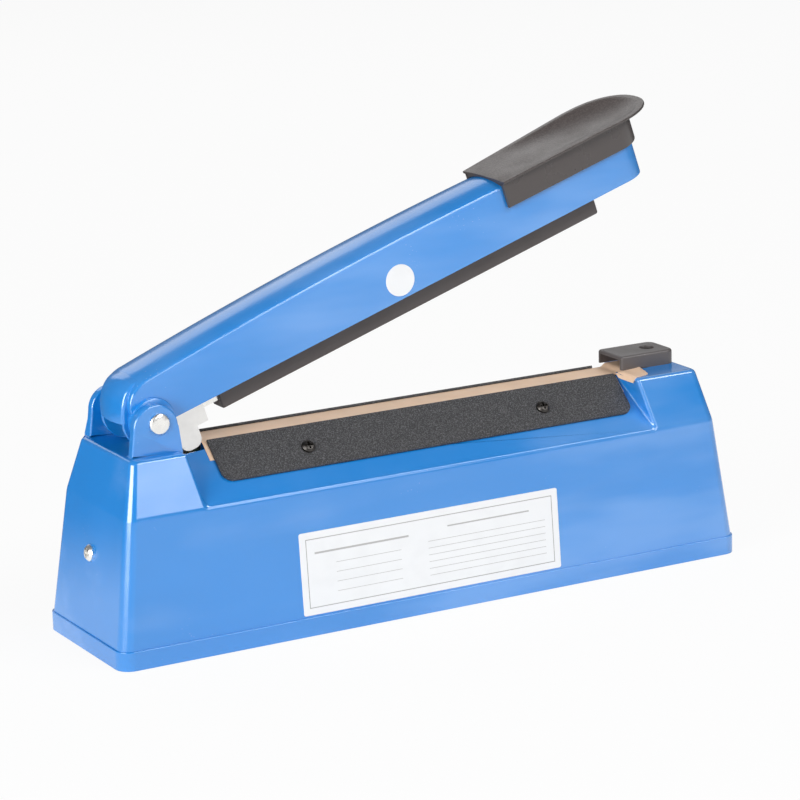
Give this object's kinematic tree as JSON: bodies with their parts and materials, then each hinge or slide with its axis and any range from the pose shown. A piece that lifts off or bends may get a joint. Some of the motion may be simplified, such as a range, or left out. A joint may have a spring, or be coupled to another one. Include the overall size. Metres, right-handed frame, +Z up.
{
  "type": "hand impulse sealer",
  "caption": "Hand impulse sealer for plastic bags: moulded body with a heated sealing bed, sprung hinged press arm with a thumb grip, rear timer knob and pilot lamp.",
  "frame": {"origin": "centre of the foot rim on the table", "axes": "+X along the body towards the grip end, -Y towards the label side, +Z up"},
  "size_m": [0.31, 0.0865, 0.2091],
  "materials": {
    "blue_plastic": "gloss",
    "grip_plastic": "satin",
    "black_plastic": "satin",
    "press_rubber": "matte",
    "foot_rubber": "matte",
    "zinc_steel": "satin",
    "bright_steel": "polished",
    "dark_screw": "satin",
    "wrinkle_coat": "textured",
    "seal_aluminium": "satin",
    "coated_cloth": "satin",
    "ribbon_alloy": "satin",
    "electrode_brass": "satin",
    "core_steel": "satin",
    "bobbin_plastic": "matte",
    "copper_winding": "satin",
    "board_laminate": "satin",
    "lead_insulation": "satin",
    "lamp_red": "gloss",
    "label_film": "satin"
  },
  "bodies": {
    "housing": {"body_shell": "blue_plastic", "end_cap": "grip_plastic", "base_plate": "zinc_steel", "rubber_feet": "foot_rubber", "end_screws": "bright_steel", "hinge_pin": "bright_steel", "pin_clip": "zinc_steel", "return_spring": "zinc_steel", "seal_bar": "seal_aluminium", "insulating_strip": "coated_cloth", "heating_ribbon": "ribbon_alloy", "ptfe_cloth": "coated_cloth", "front_clamp_plate": "wrinkle_coat", "rear_clamp_plate": "wrinkle_coat", "plate_screws": "dark_screw", "cap_screw": "dark_screw", "left_electrode": "electrode_brass", "right_electrode": "electrode_brass", "electrode_screws": "zinc_steel", "left_lead": "lead_insulation", "right_lead": "lead_insulation", "transformer_core": "core_steel", "coil_bobbin": "bobbin_plastic", "transformer_winding": "copper_winding", "transformer_strap": "zinc_steel", "strap_screws": "zinc_steel", "circuit_board": "board_laminate", "board_screws": "zinc_steel", "timer_relay": "black_plastic", "timer_capacitors": "black_plastic", "timer_potentiometer": "zinc_steel", "dial_plate": "label_film", "lamp_bezel": "black_plastic", "lamp_lens": "lamp_red", "cord_gland": "black_plastic", "gland_nut": "black_plastic", "micro_switch": "black_plastic", "front_label": "label_film"},
    "arm": {"press_arm": "blue_plastic", "arm_frame": "zinc_steel", "frame_screws": "zinc_steel", "bar_bolts": "zinc_steel", "bar_spacers": "zinc_steel", "press_bar": "bright_steel", "press_rubber": "press_rubber", "grip_cap": "grip_plastic", "arm_sticker": "label_film"},
    "timer": {"timer_knob": "black_plastic", "timer_shaft": "zinc_steel"},
    "plunger": {"switch_plunger": "lamp_red"}
  },
  "joints": [
    {"name": "arm_hinge", "type": "hinge", "parent": "housing", "child": "arm", "pos_m": [-0.125, 0, 0.0987], "axis": [0, 1, 0], "range_deg": [0, 18.2], "stiffness_Nm_per_rad": 2, "springref_deg": -17.19, "deforming": ["return_spring"]},
    {"name": "timer_turn", "type": "hinge", "parent": "housing", "child": "timer", "pos_m": [0.072, 0.04131, 0.0345], "axis": [0, -0.9965, -0.0841], "range_deg": [0, 270]},
    {"name": "switch_press", "type": "slide", "parent": "housing", "child": "plunger", "axis": [0, 0, -1], "range_m": [0, 0.0009], "stiffness_N_per_m": 350, "springref_m": -0.0015}
  ]
}
